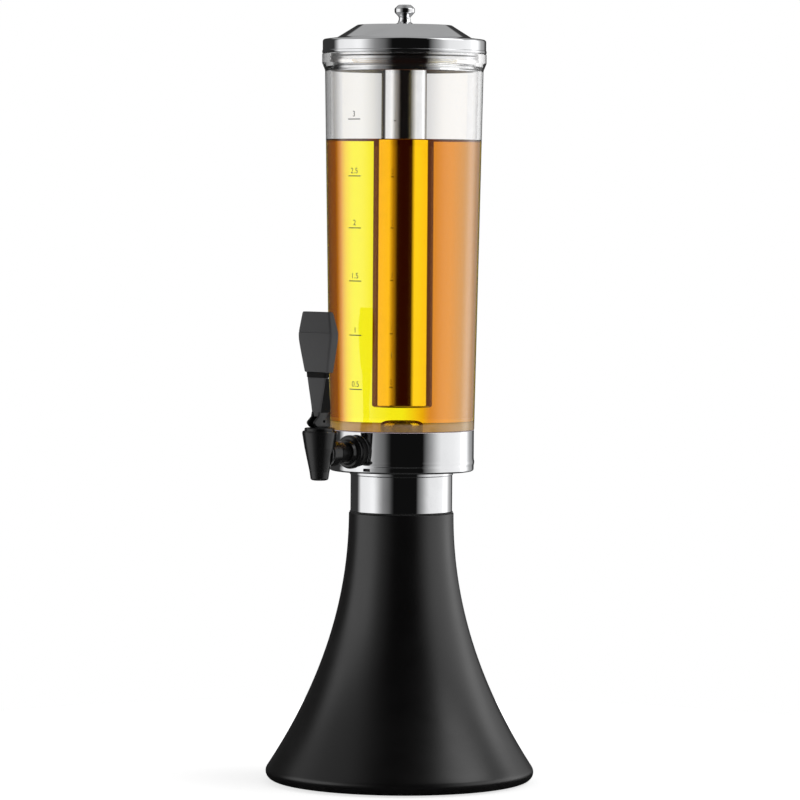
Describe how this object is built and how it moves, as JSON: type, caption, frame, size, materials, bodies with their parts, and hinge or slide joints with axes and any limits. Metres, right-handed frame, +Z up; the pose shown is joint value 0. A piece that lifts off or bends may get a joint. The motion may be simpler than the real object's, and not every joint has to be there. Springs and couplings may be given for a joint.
{
  "type": "beer tower dispenser",
  "caption": "Tall clear drink tower with an inner ice tube, a lift-off domed lid and a lever tap, on a trumpet-shaped base.",
  "frame": {"origin": "middle of the footprint on the table", "axes": "+Z up along the tower, -Y out through the tap, +X to the right of someone facing the tap"},
  "size_m": [0.226, 0.2306, 0.6527],
  "materials": {
    "black_gloss": "moulded gloss",
    "grip_plastic": "fine moulded texture",
    "polished_steel": "mirror polish",
    "plain_steel": "plain turned steel",
    "cast_iron": "rough casting, painted",
    "clear_plastic": "clear moulded",
    "black_rubber": "matt",
    "white_silicone": "soft satin",
    "drink": "clear golden liquid",
    "scale_print": "screen print"
  },
  "bodies": {
    "tower": {"trumpet_base": "black_gloss", "base_plate": "plain_steel", "base_plate_screws": "plain_steel", "rubber_feet": "black_rubber", "ballast_disc": "cast_iron", "ballast_screws": "plain_steel", "tie_rod": "plain_steel", "tie_rod_nut": "plain_steel", "tie_rod_washer": "plain_steel", "neck_seal_ring": "black_rubber", "neck_tube": "polished_steel", "neck_plate": "polished_steel", "collar_cup": "polished_steel", "barrel_gasket": "white_silicone", "barrel": "clear_plastic", "floor_washer": "white_silicone", "floor_cap_nut": "plain_steel", "tap_body": "black_gloss", "tap_flange_nut": "black_gloss", "tap_outer_washer": "black_rubber", "tap_inner_washer": "white_silicone", "tap_lock_nut": "black_gloss", "tap_bonnet": "black_gloss", "bonnet_seal": "white_silicone", "valve_spring": "plain_steel"},
    "ice_insert": {"ice_tube": "polished_steel", "ice_tube_dish": "polished_steel", "dish_gasket": "white_silicone"},
    "lid": {"lid_shell": "polished_steel", "lid_seal_ring": "white_silicone", "lid_knob": "polished_steel", "knob_screw": "plain_steel", "knob_washer": "plain_steel"},
    "valve": {"valve_stem": "plain_steel", "valve_seal": "white_silicone"},
    "lever": {"lever_arm": "black_gloss", "lever_grip": "grip_plastic", "lever_pin": "plain_steel", "grip_screw": "plain_steel"}
  },
  "joints": [
    {"name": "ice_tube_lift", "type": "slide", "parent": "tower", "child": "ice_insert", "axis": [0, 0, 1], "range_m": [0, 0.31]},
    {"name": "lid_lift", "type": "slide", "parent": "ice_insert", "child": "lid", "axis": [0, 0, 1], "range_m": [0, 0.08]},
    {"name": "valve_lift", "type": "slide", "parent": "tower", "child": "valve", "axis": [0, 0, 1], "range_m": [0, 0.0051], "stiffness_N_per_m": 250, "springref_m": -0.004, "deforming": ["valve_spring"]},
    {"name": "lever_tilt", "type": "hinge", "parent": "valve", "child": "lever", "pos_m": [0, -0.103, 0.307], "axis": [1, 0, 0], "range_deg": [0, 60]}
  ],
  "couplings": [
    {"joint": "valve_lift", "follows": "lever_tilt", "m_per_rad": 0.0047746}
  ]
}
